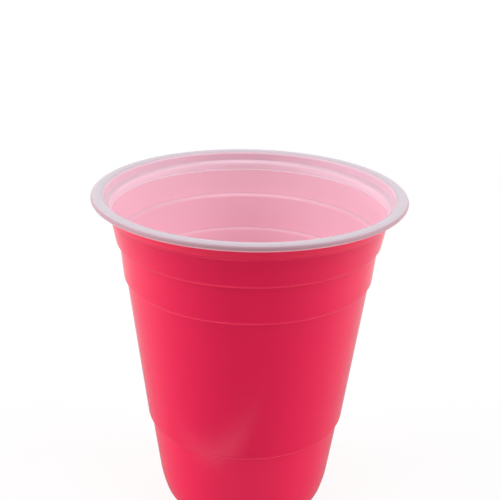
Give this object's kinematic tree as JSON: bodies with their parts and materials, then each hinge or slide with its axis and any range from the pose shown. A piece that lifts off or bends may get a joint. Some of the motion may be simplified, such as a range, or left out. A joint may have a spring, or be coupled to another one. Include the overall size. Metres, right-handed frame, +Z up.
{
  "type": "plastic party cup",
  "caption": "Thin tapered plastic party cup, pink outside and white inside, with a rolled white lip, a wall stepped by stacking ledges, a rounded hip and a recessed base.",
  "frame": {"origin": "centre of the standing face, on the axis of the cup", "axes": "+Z up along the axis of the cup, from the standing face to the mouth; +X and +Y are alike, because the cup is round"},
  "size_m": [0.095, 0.095, 0.107],
  "materials": {
    "cup_plastic": "smooth gloss, formed polystyrene sheet, pink on the outside and white on the inside and the lip"
  },
  "bodies": {
    "root": {"cup": "cup_plastic"}
  },
  "joints": []
}
